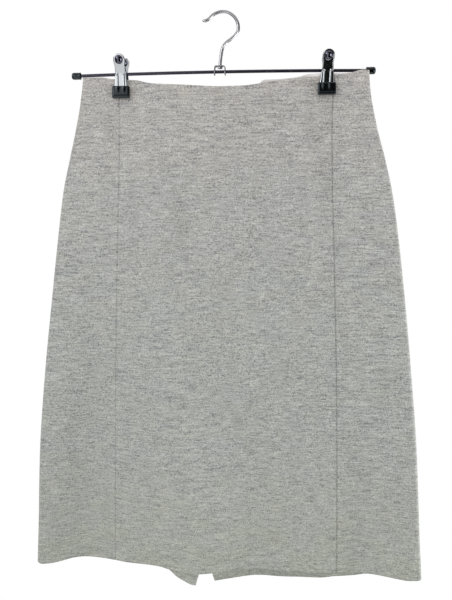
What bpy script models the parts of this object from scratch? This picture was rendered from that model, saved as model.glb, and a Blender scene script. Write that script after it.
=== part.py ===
"""A-line skirt of grey melange double knit, hung by its waist from a clip hanger.

Frame: metres, +Z up, +X to the right as the front is seen, and the front faces -Y.
Origin: the underside of the hook's crown, where a rail or a peg holds the hanger.

The skirt is a flattened tube of cloth in five panels. Its surface is one function of width and
height: a table of levels gives how wide and how full the tube is, a table of waves gives the long
soft folds that both layers share, and a table of creases gives the short ones of one layer.
"""
from collections import namedtuple
from math import acos, cos, exp, hypot, pi, radians, sin, sqrt, tan

import bmesh
import bpy
from mathutils import Matrix, Vector

# ---- Driving dimensions --------------------------------------------------------------------

GAP = 0.0003                 # between pieces that meet
CLOTH = 0.0016               # thickness of the knit
SEAM_MIDDLE = 0.0030         # the front seams lie evenly about this line
SLIT_TOP = -0.575            # height where the centre back seam ends and the slit begins

BAR_LENGTH = 0.381
BAR_MIDDLE = -0.0017
BAR_HEIGHT = -0.0712         # middle of the bar, at its highest
BAR_BOW = 0.0020             # its ends are this much lower
BAR_RADIUS = 0.0020
CAP_RADIUS = 0.0044
CAP_LENGTH = 0.0114
CAP_FLOOR = 0.0022
CAP_ROUND = 0.0010
CAP_BEVEL = 0.0004

WIRE_RADIUS = 0.0020
WIRE_HEAD = 1.55             # the head on the wire's lower end, in wire diameters
HEAD_THICKNESS = 0.0022
CROWN_RADIUS = 0.0199        # of the hook, to the middle of the wire
BRACKET_MIDDLE = -0.0032
BRACKET_WIDTH = 0.0138
BRACKET_DEPTH = 0.0080
BRACKET_TOP = -0.0638
BRACKET_LOW = -0.0756
PLATE = 0.0010               # thickness of the bracket's strip
CUT_PAST = 0.0100            # how far a cutting shape runs past what it cuts
HOLE_SIDES = 16

JAW_PLATE = 0.0009
BOOT_WIDTH = 0.0225
BOOT_DEPTH = 0.0056
BOOT_TOP = -0.0872
BOOT_LOW = -0.1024
BOOT_ROUND = 0.0013
POCKET_DEPTH = 0.0100        # how far the jaw's tongue goes into its boot
POCKET_ROOM = 0.0009         # beside the tongue
HEAD_HEIGHT = 0.0160         # middle of the jaw's round head, above the bar
DOME_RADIUS = 0.0048
DOME_RISE = 0.0026
SPRING_RADIUS = 0.0033
SPRING_PLATE = 0.0007
SPRING_WIDTH = 0.0090
SPRING_LEG = 0.0095
SPRING_BENDS = 8

# ---- The skirt's tables --------------------------------------------------------------------

# The tube at one height: half its width, where its middle lies, the front seams' distance from
# their own middle, the radius of the fold at each side, and how far the front and the back
# stand out between them.
Level = namedtuple("Level", "height half middle seam fold front back")
LEVELS = (
    Level(-0.0740, 0.1786, 0.0013, 0.1345, 0.0013, 0.0042, 0.0042),
    Level(-0.1000, 0.1810, 0.0010, 0.1343, 0.0014, 0.0058, 0.0050),
    Level(-0.1400, 0.1887, 0.0013, 0.1337, 0.0018, 0.0075, 0.0060),
    Level(-0.1800, 0.1989, 0.0022, 0.1343, 0.0022, 0.0088, 0.0070),
    Level(-0.2200, 0.2080, 0.0026, 0.1349, 0.0025, 0.0095, 0.0080),
    Level(-0.2700, 0.2154, 0.0031, 0.1368, 0.0028, 0.0100, 0.0090),
    Level(-0.3500, 0.2250, 0.0033, 0.1394, 0.0032, 0.0105, 0.0095),
    Level(-0.4500, 0.2353, 0.0030, 0.1422, 0.0038, 0.0110, 0.0095),
    Level(-0.5500, 0.2431, 0.0034, 0.1440, 0.0044, 0.0112, 0.0092),
    Level(-0.6500, 0.2467, 0.0045, 0.1452, 0.0050, 0.0115, 0.0090),
    Level(-0.7400, 0.2500, 0.0053, 0.1456, 0.0052, 0.0115, 0.0090),
)

# Edges of the cloth, as heights across the width.
Edge = namedtuple("Edge", "across height")
FRONT_WAIST = (
    Edge(-0.180, -0.0755), Edge(-0.155, -0.0757), Edge(-0.140, -0.0778), Edge(-0.110, -0.0798),
    Edge(-0.091, -0.0842), Edge(-0.050, -0.0870), Edge(0.000, -0.0898), Edge(0.022, -0.0896),
    Edge(0.041, -0.0880), Edge(0.060, -0.0852), Edge(0.084, -0.0825), Edge(0.121, -0.0789),
    Edge(0.142, -0.0776), Edge(0.157, -0.0768), Edge(0.167, -0.0745), Edge(0.173, -0.0736),
    Edge(0.182, -0.0744),
)
BACK_WAIST = (
    Edge(-0.180, -0.0755), Edge(-0.139, -0.0785), Edge(-0.091, -0.0842), Edge(-0.050, -0.0868),
    Edge(0.000, -0.0900), Edge(0.041, -0.0886), Edge(0.052, -0.0812), Edge(0.072, -0.0806),
    Edge(0.093, -0.0788), Edge(0.108, -0.0756), Edge(0.142, -0.0754), Edge(0.160, -0.0756),
    Edge(0.182, -0.0744),
)
FRONT_HEM = (
    Edge(-0.250, -0.7030), Edge(-0.237, -0.7080), Edge(-0.226, -0.7086), Edge(-0.197, -0.7061),
    Edge(-0.172, -0.7073), Edge(-0.137, -0.7049), Edge(-0.108, -0.7047), Edge(-0.082, -0.7057),
    Edge(-0.064, -0.7087), Edge(-0.053, -0.7104), Edge(-0.020, -0.7096), Edge(0.023, -0.7074),
    Edge(0.072, -0.7072), Edge(0.120, -0.7077), Edge(0.146, -0.7080), Edge(0.171, -0.7106),
    Edge(0.206, -0.7123), Edge(0.233, -0.7129), Edge(0.250, -0.7103), Edge(0.258, -0.7085),
)
BACK_HEM = (
    Edge(-0.250, -0.7040), Edge(-0.192, -0.7080), Edge(-0.137, -0.7095), Edge(-0.100, -0.7120),
    Edge(-0.080, -0.7160), Edge(-0.069, -0.7230), Edge(-0.062, -0.7282), Edge(-0.050, -0.7322),
    Edge(-0.038, -0.7356), Edge(-0.013, -0.7319), Edge(0.012, -0.7303), Edge(0.031, -0.7292),
    Edge(0.067, -0.7272), Edge(0.102, -0.7250), Edge(0.127, -0.7246), Edge(0.150, -0.7222),
    Edge(0.170, -0.7224), Edge(0.189, -0.7202), Edge(0.206, -0.7174), Edge(0.233, -0.7140),
    Edge(0.258, -0.7090),
)

# The middle of the back: where its seam runs, and below the slit's top half the slit's width.
Middle = namedtuple("Middle", "height across opening")
BACK_MIDDLE = (
    Middle(-0.0740, 0.0030, 0.0), Middle(-0.4000, -0.0060, 0.0), Middle(SLIT_TOP, -0.0140, 0.0),
    Middle(-0.6500, -0.0192, 0.0054), Middle(-0.7200, -0.0226, 0.0086),
    Middle(-0.7260, -0.0230, 0.0100), Middle(-0.7315, -0.0228, 0.0114),
    Middle(-0.7400, -0.0234, 0.0126),
)

# Long folds, shared by both layers. Each starts from nothing at its top and is deepest at the
# hem; a depth above zero lies back, one below zero stands forward.
Wave = namedtuple("Wave", "top_across top_height hem_across top_width hem_width depth power")
WAVES = (
    Wave(-0.200, -0.250, -0.256, 0.026, 0.036, -0.0190, 1.5),   # left edge turns forward
    Wave(-0.140, -0.130, -0.176, 0.020, 0.036, 0.0190, 1.0),    # trough beside it
    Wave(-0.100, -0.130, -0.034, 0.020, 0.038, -0.0110, 0.9),   # ridge from the left clip
    Wave(0.060, -0.430, 0.046, 0.022, 0.028, 0.0070, 1.1),      # shallow trough
    Wave(0.185, -0.430, 0.186, 0.024, 0.030, 0.0110, 1.2),      # trough on the right
    Wave(0.228, -0.330, 0.262, 0.024, 0.032, -0.0150, 1.3),     # right edge turns forward
)
HEM_LEVEL = -0.7120          # where the waves reach their full depth

# Short creases of one layer, from one point to another, swelling out in between. A rise above
# zero stands out from the body.
Crease = namedtuple("Crease", "from_across from_height to_across to_height width rise")
FRONT_CREASES = (
    Crease(-0.124, -0.100, -0.116, -0.430, 0.016, 0.0020),      # beside the left seam
    Crease(-0.108, -0.100, -0.060, -0.360, 0.018, 0.0018),      # fans out from the left clip
    Crease(-0.070, -0.200, -0.018, -0.540, 0.022, -0.0030),     # trough below it
    Crease(0.118, -0.100, 0.106, -0.350, 0.017, 0.0026),        # fans out from the right clip
    Crease(0.136, -0.110, 0.136, -0.380, 0.013, -0.0022),       # along the right seam
    Crease(0.088, -0.110, 0.020, -0.300, 0.024, 0.0016),        # towards the middle
    Crease(-0.010, -0.560, 0.004, -0.720, 0.030, 0.0022),
)
BACK_CREASES = (
    Crease(-0.118, -0.110, -0.080, -0.420, 0.022, 0.0024),
    Crease(0.116, -0.110, 0.078, -0.400, 0.022, 0.0024),
    Crease(-0.060, -0.300, -0.090, -0.660, 0.028, 0.0030),
    Crease(0.070, -0.380, 0.100, -0.700, 0.030, 0.0026),
    Crease(-0.040, -0.640, -0.036, -0.760, 0.020, -0.0100),     # slit's corner turns inwards
)

# The waist's right corner is set in front of the bar.
CORNER_START = 0.1440
CORNER_END = 0.1760
CORNER_FORWARD = 0.0076
CORNER_FULL = -0.0860        # it is all the way forward above this height
CORNER_GONE = -0.2300        # and back in line below this one

# A clip: where it sits, and how far its two handles lean sideways.
Clip = namedtuple("Clip", "name across front_lean back_lean")
CLIPS = (
    Clip("clip_left", -0.1279, radians(-1.4), radians(0.4)),
    Clip("clip_right", 0.1295, radians(3.4), radians(2.6)),
)
PINCH_EDGE = 0.0007          # cloth held flat beyond each side of a clip's boots
PINCH_EASE = 0.0160          # width in which it comes free again
PINCH_SPREAD = 0.16          # how fast that widens below the boots
PINCH_GONE = 0.150           # how far below the boots the hold ends

# The stamped jaw, from its head down, with heights from the bar's middle.
Stamp = namedtuple("Stamp", "height half stand flange")
JAW = (
    Stamp(0.0228, 0.0016, 0.0138, 0.0000),
    Stamp(0.0219, 0.0038, 0.0137, 0.0003),
    Stamp(0.0198, 0.0059, 0.0134, 0.0007),
    Stamp(0.0175, 0.0068, 0.0128, 0.0010),
    Stamp(0.0150, 0.0070, 0.0122, 0.0012),
    Stamp(0.0120, 0.0066, 0.0112, 0.0016),
    Stamp(0.0085, 0.0062, 0.0096, 0.0024),
    Stamp(0.0045, 0.0064, 0.0075, 0.0026),
    Stamp(0.0010, 0.0068, 0.0056, 0.0020),
    Stamp(-0.0025, 0.0072, 0.0050, 0.0017),
    Stamp(-0.0085, 0.0078, 0.0050, 0.0017),
    Stamp(-0.0140, 0.0083, 0.0050, 0.0012),
    Stamp(-0.0160, 0.0082, 0.0050, 0.0000),
    Stamp(-0.0240, 0.0080, 0.0050, 0.0000),
)
JAW_PLACES = (-1.0, -0.97, -0.76, -0.53, -0.28, 0.0, 0.28, 0.53, 0.76, 0.97, 1.0)
JAW_LIP = 0.0004             # how much further its outermost edges turn back
RIB_PLACE = 0.53             # two pressed ribs run at this share of half the jaw's width
RIB_RISE = 0.0007
RIB_TOP = -0.0010
LEAN_START = -0.0140         # the handles lean from here up

# ---- Fineness ------------------------------------------------------------------------------

ROWS = 21                    # of faces, from waist to hem
CENTRE_COLUMNS = 18          # between the clips, in front
SIDE_COLUMNS = 6             # from a clip to the side's fold, in both layers
BACK_COLUMNS = 10            # from the centre back to a clip
FOLD_STEPS = 4
WIRE_SIDES = 4               # bevel resolution of the hook
WIRE_SPACING = 0.0028        # between its rings
NECK_STEP = 0.0002           # from the wire's head to the wire
BAR_SIDES = 3
BAR_STEPS = 16

# ---- Small tools ---------------------------------------------------------------------------


def smooth_step(low, high, value):
    """0 below low, 1 above high, and an even S between them."""
    t = min(max((value - low) / (high - low), 0.0), 1.0)
    return t * t * (3.0 - 2.0 * t)


def smooth_curve(places, values):
    """A smooth curve through the values that never swings past them, flat beyond its ends."""
    if places[0] > places[-1]:
        places, values = places[::-1], values[::-1]
    steps = [b - a for a, b in zip(places, places[1:])]
    rates = [(b - a) / step for a, b, step in zip(values, values[1:], steps)]
    slopes = [0.0] * len(places)
    for i in range(1, len(places) - 1):
        before, after = rates[i - 1], rates[i]
        if before * after > 0.0:
            slopes[i] = 2.0 * before * after / (before + after)

    def read(at):
        if at <= places[0]:
            return values[0]
        if at >= places[-1]:
            return values[-1]
        i = max(k for k, place in enumerate(places) if place <= at)
        step = steps[i]
        t = (at - places[i]) / step
        rise = values[i + 1] - values[i]
        lean = slopes[i] * step
        bend = 3.0 * rise - 2.0 * lean - slopes[i + 1] * step
        curl = lean + slopes[i + 1] * step - 2.0 * rise
        return values[i] + t * (lean + t * (bend + t * curl))

    return read


def columns_of(rows):
    """One smooth curve for each named column of a table, read by its first column."""
    places = [row[0] for row in rows]
    return {name: smooth_curve(places, [getattr(row, name) for row in rows])
            for name in rows[0]._fields[1:]}


LEVEL = columns_of(LEVELS)
MIDDLE_LINE = columns_of(BACK_MIDDLE)
EDGE_LINE = {name: columns_of(rows)["height"]
             for name, rows in (("front waist", FRONT_WAIST), ("back waist", BACK_WAIST),
                                ("front hem", FRONT_HEM), ("back hem", BACK_HEM))}

# ---- The skirt's surface -------------------------------------------------------------------


def bell(distance, width):
    """The round profile of a fold."""
    return exp(-(distance / width) ** 2)


def wave_depth(wave, across, height):
    """How far back one long fold lies at a point."""
    down = (wave.top_height - height) / (wave.top_height - HEM_LEVEL)
    if down <= 0.0:
        return 0.0
    middle = wave.top_across + (wave.hem_across - wave.top_across) * down
    width = wave.top_width + (wave.hem_width - wave.top_width) * min(down, 1.0)
    return wave.depth * min(down, 1.05) ** wave.power * bell(across - middle, width)


def crease_rise(crease, across, height):
    """How far one short crease stands out at a point."""
    run_across = crease.to_across - crease.from_across
    run_down = crease.to_height - crease.from_height
    length = hypot(run_across, run_down)
    aside = across - crease.from_across
    below = height - crease.from_height
    along = (aside * run_across + below * run_down) / length ** 2
    if not 0.0 < along < 1.0:
        return 0.0
    off_line = (aside * run_down - below * run_across) / length
    return crease.rise * sin(pi * along) ** 1.5 * bell(off_line, crease.width)


def free_share(across, height):
    """1 where the cloth is free to stand out, 0 where a clip holds both layers together."""
    share = 1.0
    for clip in CLIPS:
        below = max(BOOT_LOW - height, 0.0)
        held = BOOT_WIDTH / 2 + PINCH_EDGE
        free = held + PINCH_EASE + PINCH_SPREAD * below
        hold = 1.0 - smooth_step(0.0, PINCH_GONE, below)
        share *= 1.0 - hold * (1.0 - smooth_step(held, free, abs(across - clip.across)))
    return share


def sway(across, height):
    """Where the middle between both layers lies."""
    depth = sum(wave_depth(wave, across, height) for wave in WAVES)
    forward = CORNER_FORWARD * smooth_step(CORNER_START, CORNER_END, across)
    return depth - forward * smooth_step(CORNER_GONE, CORNER_FULL, height)


def layer_depth(face, across, height):
    """Y of the middle of the cloth in the front or back layer."""
    half = LEVEL["half"](height)
    fold = LEVEL["fold"](height)
    aside = min(abs(across - LEVEL["middle"](height)), half)
    into_fold = max(aside - (half - fold), 0.0) / fold
    round_side = fold * sqrt(max(1.0 - into_fold ** 2, 0.0))
    inner = 1.0 - (aside / half) ** 2
    stand = LEVEL[face](height) * inner * free_share(across, height)
    creases = FRONT_CREASES if face == "front" else BACK_CREASES
    relief = sum(crease_rise(crease, across, height) for crease in creases)
    relief *= min(1.0, 4.0 * inner) * free_share(across, height)
    out = round_side + max(stand + relief, 0.0)
    return sway(across, height) + (-out if face == "front" else out)


def panel_point(face, place_at, down):
    """The point a share `down` of the way from waist to hem, in the column place_at(height)."""
    height = HEM_LEVEL * down + BAR_HEIGHT * (1.0 - down)
    for _ in range(6):
        across = place_at(height)
        top = EDGE_LINE[face + " waist"](across)
        low = EDGE_LINE[face + " hem"](across)
        height = top + (low - top) * down
    across = place_at(height)
    return Vector((across, layer_depth(face, across, height), height))


def row_shares():
    """Shares of the drop at which the rows lie, closer together at the waist and the hem."""
    even = [i / ROWS for i in range(ROWS + 1)]
    return [t - 0.07 * sin(2.0 * pi * t) for t in even]


# ---- Columns of a panel --------------------------------------------------------------------
# A column is a function that gives where across the skirt it lies at each height.


def seam_column(side, offset):
    return lambda height: SEAM_MIDDLE + side * (LEVEL["seam"](height) + offset)


def back_middle_column(side):
    return lambda height: (MIDDLE_LINE["across"](height)
                           + side * (MIDDLE_LINE["opening"](height) + GAP / 2))


def fold_column(side, angle_share):
    """A column round the side fold, from the flat (share 0) to the side seam (share 1)."""
    def place(height):
        fold = LEVEL["fold"](height)
        last = acos(GAP / 2 / fold)
        aside = LEVEL["half"](height) - fold + fold * sin(angle_share * last)
        return LEVEL["middle"](height) + side * aside
    return place


def clip_column(side, edge):
    """A column along the inner (edge -1) or outer (edge 1) side of a clip, and on down the seam."""
    clip = CLIPS[0] if side < 0 else CLIPS[1]
    held = side * clip.across + edge * (BOOT_WIDTH / 2 + PINCH_EDGE)
    return seam_column(side, held - side * SEAM_MIDDLE - LEVELS[0].seam)


def between(first, last, count):
    """Evenly spaced columns from one column to another, the last one left out."""
    def column(share):
        return lambda height: first(height) * (1.0 - share) + last(height) * share
    return [column(i / count) for i in range(count)]


def round_fold(side):
    """The columns round a side fold, with a short last step so that the edge lies square."""
    shares = [(i + 1) / FOLD_STEPS for i in range(FOLD_STEPS - 1)] + [0.93, 1.0]
    return [fold_column(side, share) for share in shares]


def outer_columns(side):
    """The columns from a clip's outer side to the side seam, flat and then round the fold."""
    flat = between(clip_column(side, 1), fold_column(side, 0.0), SIDE_COLUMNS)
    return flat + [fold_column(side, 0.0)] + round_fold(side)


def front_centre_columns():
    left, right = seam_column(-1, -GAP / 2), seam_column(1, -GAP / 2)
    inner_left, inner_right = clip_column(-1, -1), clip_column(1, -1)
    return (between(left, inner_left, 1) + between(inner_left, inner_right, CENTRE_COLUMNS)
            + between(inner_right, right, 2) + [right])


def front_side_columns(side):
    return between(seam_column(side, GAP / 2), clip_column(side, 1), 1) + outer_columns(side)


def back_columns(side):
    inner, outer = clip_column(side, -1), clip_column(side, 1)
    return (between(back_middle_column(side), inner, BACK_COLUMNS)
            + between(inner, outer, 2) + outer_columns(side))


# ---- Making objects ------------------------------------------------------------------------


def clear_scene():
    for old in list(bpy.data.objects):
        bpy.data.objects.remove(old, do_unlink=True)


def make_material(name, colour, roughness, metallic):
    material = bpy.data.materials.new(name)
    material.use_nodes = True
    shader = material.node_tree.nodes["Principled BSDF"]
    shader.inputs["Base Color"].default_value = (*colour, 1.0)
    shader.inputs["Roughness"].default_value = roughness
    shader.inputs["Metallic"].default_value = metallic
    return material


def add_object(name, data, material):
    made = bpy.data.objects.new(name, data)
    bpy.context.scene.collection.objects.link(made)
    data.materials.append(material)
    return made


def finish_mesh(name, bm, material, sharp=radians(40)):
    """Turn a bmesh into a smooth-shaded object with its faces pointing out."""
    bmesh.ops.recalc_face_normals(bm, faces=bm.faces)
    mesh = bpy.data.meshes.new(name)
    bm.to_mesh(mesh)
    bm.free()
    mesh.shade_smooth()
    mesh.set_sharp_from_angle(angle=sharp)
    return add_object(name, mesh, material)


def sheet_object(name, rows, thickness, material):
    """A wall of even thickness whose middle runs through rows of points."""
    bm = bmesh.new()
    grid = [[bm.verts.new(point) for point in row] for row in rows]
    for upper, lower in zip(grid, grid[1:]):
        for i in range(len(upper) - 1):
            bm.faces.new((upper[i], lower[i], lower[i + 1], upper[i + 1]))
    made = finish_mesh(name, bm, material)
    wall = made.modifiers.new("wall", "SOLIDIFY")
    wall.thickness = thickness
    wall.offset = 0.0
    wall.use_even_offset = True
    return made


def panel(name, face, columns, material):
    """One cut piece of the skirt."""
    rows = [[panel_point(face, column, down) for column in columns] for down in row_shares()]
    return sheet_object(name, rows, CLOTH, material)


def box(bm, low, high):
    """Add a box between two corners, and return its vertices."""
    made = bmesh.ops.create_cube(bm, size=1.0)["verts"]
    size = [b - a for a, b in zip(low, high)]
    middle = [(a + b) / 2 for a, b in zip(low, high)]
    bmesh.ops.scale(bm, vec=size, verts=made)
    bmesh.ops.translate(bm, vec=middle, verts=made)
    return made


def round_cutter(bm, radius, length):
    """Add a round rod for a hole, and return its vertices."""
    return bmesh.ops.create_cone(bm, cap_ends=True, segments=HOLE_SIDES, radius1=radius,
                                 radius2=radius, depth=length)["verts"]


def cutter(name, bm, target):
    """Cut a hidden shape out of the target."""
    bmesh.ops.recalc_face_normals(bm, faces=bm.faces)
    mesh = bpy.data.meshes.new(name)
    bm.to_mesh(mesh)
    bm.free()
    shape = bpy.data.objects.new(name, mesh)
    bpy.context.scene.collection.objects.link(shape)
    shape.hide_render = True
    shape.display_type = "WIRE"
    cut = target.modifiers.new(name, "BOOLEAN")
    cut.operation = "DIFFERENCE"
    cut.object = shape


def round_bar(name, centres, radius, resolution, material, radii=None):
    """A wire along a line of points, as a bevelled curve with closed ends."""
    curve = bpy.data.curves.new(name, "CURVE")
    curve.dimensions = "3D"
    curve.bevel_depth = radius
    curve.bevel_resolution = resolution
    curve.use_fill_caps = True
    spline = curve.splines.new("POLY")
    spline.points.add(len(centres) - 1)
    for i, centre in enumerate(centres):
        spline.points[i].co = (*centre, 1.0)
        spline.points[i].radius = radii[i] if radii else 1.0
    return add_object(name, curve, material)


# ---- Skirt ---------------------------------------------------------------------------------


def make_skirt(knit):
    """Five panels: the front's centre and two sides, and the two halves of the back."""
    panel("front_centre_panel", "front", front_centre_columns(), knit)
    for side, word in ((-1, "left"), (1, "right")):
        panel("front_side_panel_" + word, "front", front_side_columns(side), knit)
        panel("back_panel_" + word, "back", back_columns(side), knit)


# ---- Hanger --------------------------------------------------------------------------------


def bar_height(across):
    """Height of the bar's middle, a little lower towards its ends."""
    return BAR_HEIGHT - BAR_BOW * ((across - BAR_MIDDLE) / (BAR_LENGTH / 2)) ** 2


def make_bar(steel):
    end = BAR_LENGTH / 2 - CAP_FLOOR
    places = [BAR_MIDDLE - end + 2 * end * i / BAR_STEPS for i in range(BAR_STEPS + 1)]
    centres = [(across, 0.0, bar_height(across)) for across in places]
    round_bar("hanger_bar", centres, BAR_RADIUS, BAR_SIDES, steel)


def make_cap(name, side, rubber):
    """A blind rubber cap, turned about the bar's end."""
    outer = CAP_LENGTH
    profile = (
        (0.0, CAP_FLOOR - GAP), (BAR_RADIUS + GAP, CAP_FLOOR - GAP), (BAR_RADIUS + GAP, outer),
        (CAP_RADIUS - CAP_BEVEL, outer), (CAP_RADIUS, outer - CAP_BEVEL), (CAP_RADIUS, CAP_ROUND),
        (CAP_RADIUS - CAP_ROUND, 0.0), (0.0, 0.0),
    )
    bm = bmesh.new()
    points = [bm.verts.new((across, 0.0, radius)) for radius, across in profile]
    edges = [bm.edges.new(pair) for pair in zip(points, points[1:])]
    bmesh.ops.spin(bm, geom=points + edges, axis=(1, 0, 0), cent=(0, 0, 0), angle=2 * pi,
                   steps=HOLE_SIDES, use_merge=True)
    bmesh.ops.remove_doubles(bm, verts=bm.verts, dist=0.00001)
    end = BAR_MIDDLE + side * BAR_LENGTH / 2
    bmesh.ops.scale(bm, vec=(-side, 1, 1), verts=bm.verts)
    bmesh.ops.translate(bm, vec=(end, 0, bar_height(end)), verts=bm.verts)
    finish_mesh(name, bm, rubber)


def hook_route():
    """Middle of the hook's wire: a straight shank, a reverse bend, the crown and a turned lip."""
    crown_height = WIRE_RADIUS - CROWN_RADIUS
    crown = [(CROWN_RADIUS * cos(radians(turn)), crown_height + CROWN_RADIUS * sin(radians(turn)))
             for turn in range(-12, 133, 12)]
    shank = [(-0.0030, -0.0668), (-0.0029, -0.0630), (-0.0024, -0.0570), (-0.0014, -0.0500),
             (-0.0004, -0.0445), (0.0014, -0.0398), (0.0048, -0.0357), (0.0098, -0.0322),
             (0.0142, -0.0287), (0.0175, -0.0250)]
    lip = [(-0.0165, -0.0062), (-0.0196, -0.0080), (-0.0222, -0.0086), (-0.0248, -0.0082)]
    return shank + crown + lip


def smooth_route(points, spacing):
    """Evenly spaced points on a smooth curve through a route's own points."""
    run = [0.0]
    for a, b in zip(points, points[1:]):
        run.append(run[-1] + hypot(b[0] - a[0], b[1] - a[1]))
    count = round(run[-1] / spacing)
    route = []
    for i in range(count + 1):
        at = run[-1] * i / count
        k = min(max(j for j, place in enumerate(run) if place <= at), len(points) - 2)
        before = points[max(k - 1, 0)]
        after = points[min(k + 2, len(points) - 1)]
        t = (at - run[k]) / (run[k + 1] - run[k])
        route.append(tuple(
            0.5 * (2 * b + (c - a) * t + (2 * a - 5 * b + 4 * c - d) * t ** 2
                   + (3 * b - a - 3 * c + d) * t ** 3)
            for a, b, c, d in zip(before, points[k], points[k + 1], after)))
    return route


def make_hook(chrome):
    """The wire, with a head upset on its lower end so that it turns in the bracket."""
    route = smooth_route(hook_route(), WIRE_SPACING)
    neck = BRACKET_TOP - PLATE - GAP
    first = route[0][0]
    above = [(across, 0.0, height) for across, height in route if height > neck + NECK_STEP * 2]
    head = [(first, 0.0, neck - HEAD_THICKNESS), (first, 0.0, neck),
            (first, 0.0, neck + NECK_STEP)]
    sizes = [WIRE_HEAD, WIRE_HEAD, 1.0] + [1.0] * len(above)
    round_bar("hanger_hook", head + above, WIRE_RADIUS, WIRE_SIDES, chrome, sizes)


def make_bracket(chrome):
    """A strip bent to an upside-down U, with the bar through its ears and the wire on top."""
    left = BRACKET_MIDDLE - BRACKET_WIDTH / 2
    right = BRACKET_MIDDLE + BRACKET_WIDTH / 2
    deep = BRACKET_DEPTH / 2
    bm = bmesh.new()
    box(bm, (left, -deep, BRACKET_LOW), (right, deep, BRACKET_TOP))
    made = finish_mesh("hook_bracket", bm, chrome)
    bm = bmesh.new()
    box(bm, (left + PLATE, -deep - CUT_PAST, BRACKET_LOW - CUT_PAST),
        (right - PLATE, deep + CUT_PAST, BRACKET_TOP - PLATE))
    cutter("bracket_inside", bm, made)
    bm = bmesh.new()
    hole = round_cutter(bm, BAR_RADIUS + GAP, BRACKET_WIDTH + 2 * CUT_PAST)
    bmesh.ops.rotate(bm, cent=(0, 0, 0), matrix=Matrix.Rotation(pi / 2, 3, "Y"), verts=hole)
    bmesh.ops.translate(bm, vec=(BRACKET_MIDDLE, 0, bar_height(BRACKET_MIDDLE)), verts=hole)
    cutter("bracket_bar_holes", bm, made)
    bm = bmesh.new()
    hole = round_cutter(bm, WIRE_RADIUS + GAP, 8 * PLATE)
    bmesh.ops.translate(bm, vec=(hook_route()[0][0], 0, BRACKET_TOP), verts=hole)
    cutter("bracket_wire_hole", bm, made)


# ---- Clips ---------------------------------------------------------------------------------


def jaw_rows(clip, side, lean):
    """Rows of points through the middle of a jaw's plate; side is -1 in front, 1 behind."""
    pivot = bar_height(clip.across)
    rows = []
    for stamp in JAW:
        shift = clip.across + tan(lean) * max(stamp.height - LEAN_START, 0.0)
        row = []
        for place in JAW_PLACES:
            across = stamp.half * place
            out = stamp.stand
            if abs(place) == 1.0:
                out -= stamp.flange + JAW_LIP
            out += dome_rise(across, stamp.height - HEAD_HEIGHT)
            if abs(place) == RIB_PLACE and stamp.height < RIB_TOP:
                out += RIB_RISE
            row.append((shift + across, side * out, pivot + stamp.height))
        rows.append(row)
    return rows


def dome_rise(across, above):
    """The round boss pressed into the jaw's head."""
    share = 1.0 - (across ** 2 + above ** 2) / DOME_RADIUS ** 2
    return DOME_RISE * sqrt(share) if share > 0.0 else 0.0


def make_boot(name, clip, side, rubber):
    """A rubber boot with a pocket in its top for the jaw's tongue."""
    inner = LEVEL["fold"](BOOT_LOW) + CLOTH / 2 + GAP
    near, far = sorted((side * inner, side * (inner + BOOT_DEPTH)))
    wide = BOOT_WIDTH / 2
    bm = bmesh.new()
    box(bm, (clip.across - wide, near, BOOT_LOW), (clip.across + wide, far, BOOT_TOP))
    made = finish_mesh(name, bm, rubber)
    soft = made.modifiers.new("round", "BEVEL")
    soft.width = BOOT_ROUND
    soft.segments = 2
    soft.limit_method = "ANGLE"
    tongue = JAW[-1]
    bm = bmesh.new()
    reach = tongue.half + POCKET_ROOM
    middle = side * tongue.stand
    slot = JAW_PLATE / 2 + RIB_RISE + GAP
    box(bm, (clip.across - reach, middle - slot, BOOT_TOP - POCKET_DEPTH),
        (clip.across + reach, middle + slot, BOOT_TOP + CUT_PAST))
    cutter(name + "_pocket", bm, made)


def make_spring(name, clip, steel):
    """A leaf spring bent over the bar, pressing its legs against both jaws."""
    pivot = bar_height(clip.across)
    line = [(-SPRING_RADIUS, pivot - SPRING_LEG)]
    for i in range(SPRING_BENDS + 1):
        turn = pi - pi * i / SPRING_BENDS
        line.append((SPRING_RADIUS * cos(turn), pivot + SPRING_RADIUS * sin(turn)))
    line.append((SPRING_RADIUS, pivot - SPRING_LEG))
    wide = SPRING_WIDTH / 2
    rows = [[(clip.across - wide, y, z), (clip.across + wide, y, z)] for y, z in line]
    sheet_object(name, rows, SPRING_PLATE, steel)


def make_clip(clip, chrome, steel, rubber):
    for side, word, lean in ((-1, "front", clip.front_lean), (1, "back", clip.back_lean)):
        rows = jaw_rows(clip, side, lean)
        sheet_object(clip.name + "_" + word + "_jaw", rows, JAW_PLATE, chrome)
        make_boot(clip.name + "_" + word + "_boot", clip, side, rubber)
    make_spring(clip.name + "_spring", clip, steel)


# ---- Everything ----------------------------------------------------------------------------


def main():
    clear_scene()
    knit = make_material("grey_knit", (0.37, 0.37, 0.35), 0.95, 0.0)
    chrome = make_material("chrome", (0.75, 0.76, 0.78), 0.12, 1.0)
    steel = make_material("dark_steel", (0.16, 0.16, 0.18), 0.30, 1.0)
    rubber = make_material("black_rubber", (0.02, 0.02, 0.022), 0.45, 0.0)
    make_skirt(knit)
    make_bar(steel)
    make_cap("bar_cap_left", -1, rubber)
    make_cap("bar_cap_right", 1, rubber)
    make_hook(chrome)
    make_bracket(chrome)
    for clip in CLIPS:
        make_clip(clip, chrome, steel, rubber)


main()
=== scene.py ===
"""An A-line skirt of grey melange knit on a clip hanger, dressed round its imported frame.

Everything is in metres in the row's frame: +Z up, the skirt's front faces -Y, and the origin is the
underside of the hook's crown. The skirt's surface comes from the same tables as its solids.
"""
from collections import namedtuple
from math import acos, atan2, cos, exp, hypot, pi, radians, sin, sqrt, tan

import bmesh
import bpy
from mathutils import Matrix, Vector


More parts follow.
